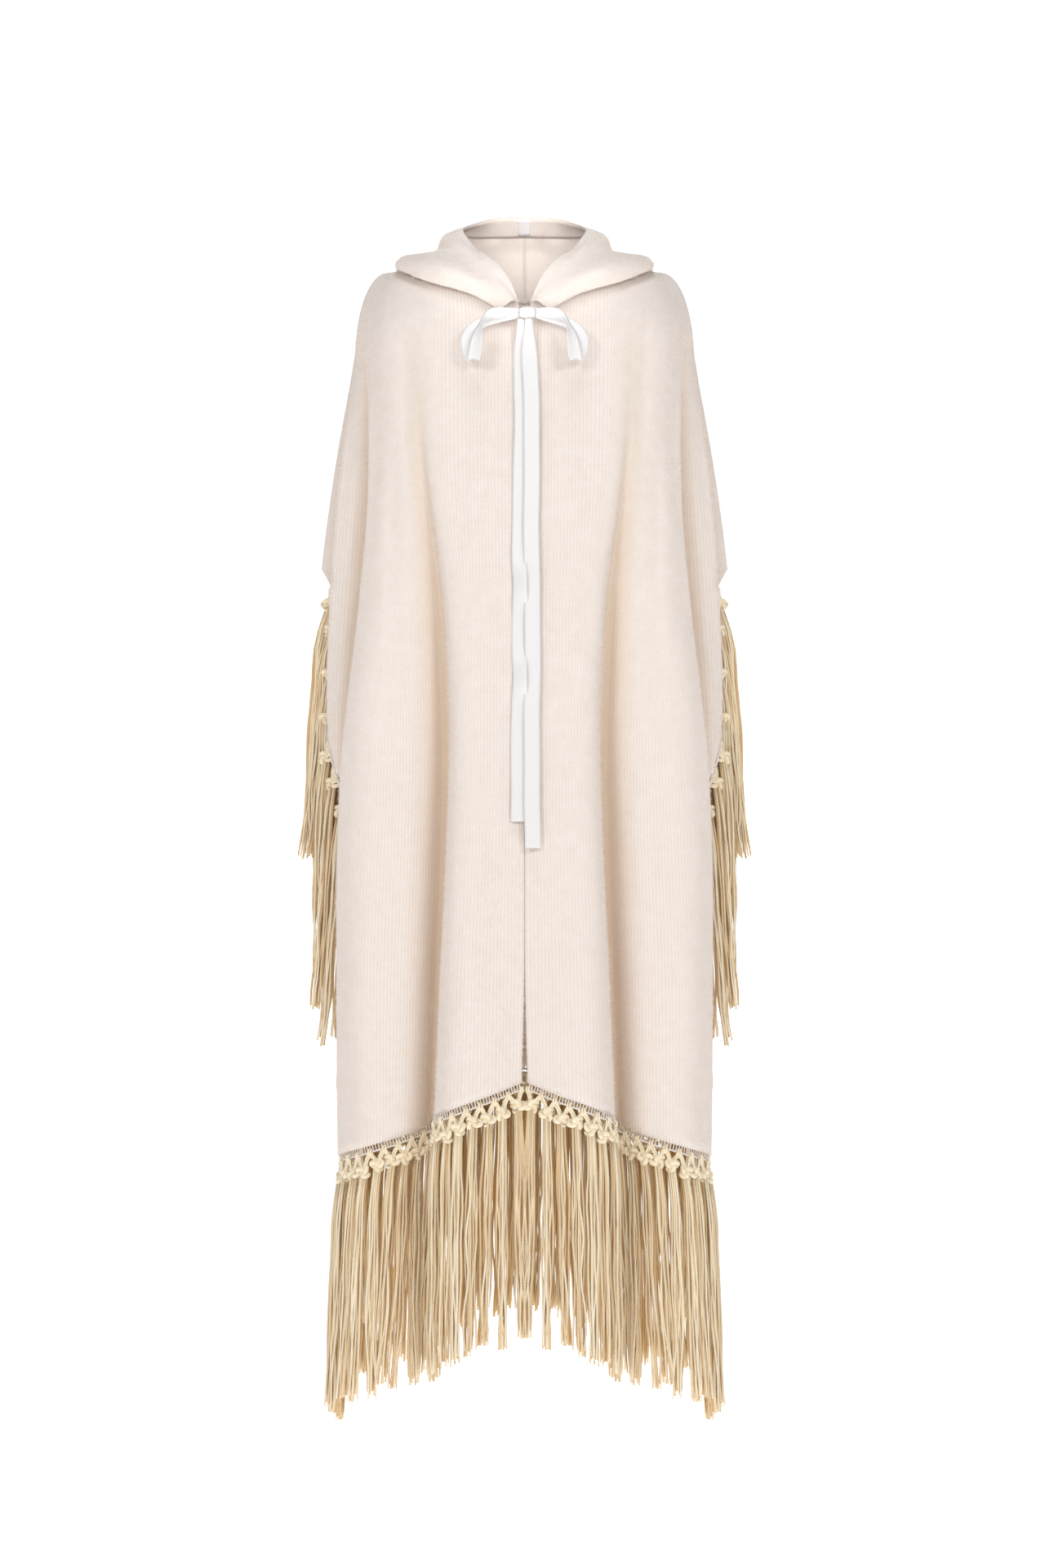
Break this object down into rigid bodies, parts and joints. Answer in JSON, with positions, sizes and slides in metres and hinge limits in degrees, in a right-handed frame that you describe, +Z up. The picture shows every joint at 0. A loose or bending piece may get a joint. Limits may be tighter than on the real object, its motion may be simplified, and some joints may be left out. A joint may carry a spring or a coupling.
{
  "type": "hooded knitted poncho with a ribbon tie",
  "caption": "Long open-front knitted poncho with its hood lying back, a satin ribbon tied in a bow at the neck, and a netted, knotted fringe on the hem and side edges.",
  "frame": {"origin": "The middle of the neck at the height of the shoulders, where the poncho rests on whoever wears it.", "axes": "+Z is up, -Y is the front, and +X is the wearer's left."},
  "size_m": [0.5584, 0.3692, 1.4798],
  "materials": {
    "knit": "brushed off-white rib knit",
    "satin_ribbon": "white satin",
    "fringe_yarn": "soft cream yarn"
  },
  "bodies": {
    "root": {"back": "knit", "front_left": "knit", "front_right": "knit", "hood_left": "knit", "hood_right": "knit", "hood_band": "knit", "hood_tape": "satin_ribbon", "ribbon_knot": "satin_ribbon", "ribbon_loop_left": "satin_ribbon", "ribbon_loop_right": "satin_ribbon", "ribbon_tail_back": "satin_ribbon", "ribbon_tail_front": "satin_ribbon", "fringe_hem_back": "fringe_yarn", "fringe_hem_front_left": "fringe_yarn", "fringe_hem_front_right": "fringe_yarn", "fringe_side_back_left": "fringe_yarn", "fringe_side_back_right": "fringe_yarn", "fringe_side_front_left": "fringe_yarn", "fringe_side_front_right": "fringe_yarn"}
  },
  "joints": []
}
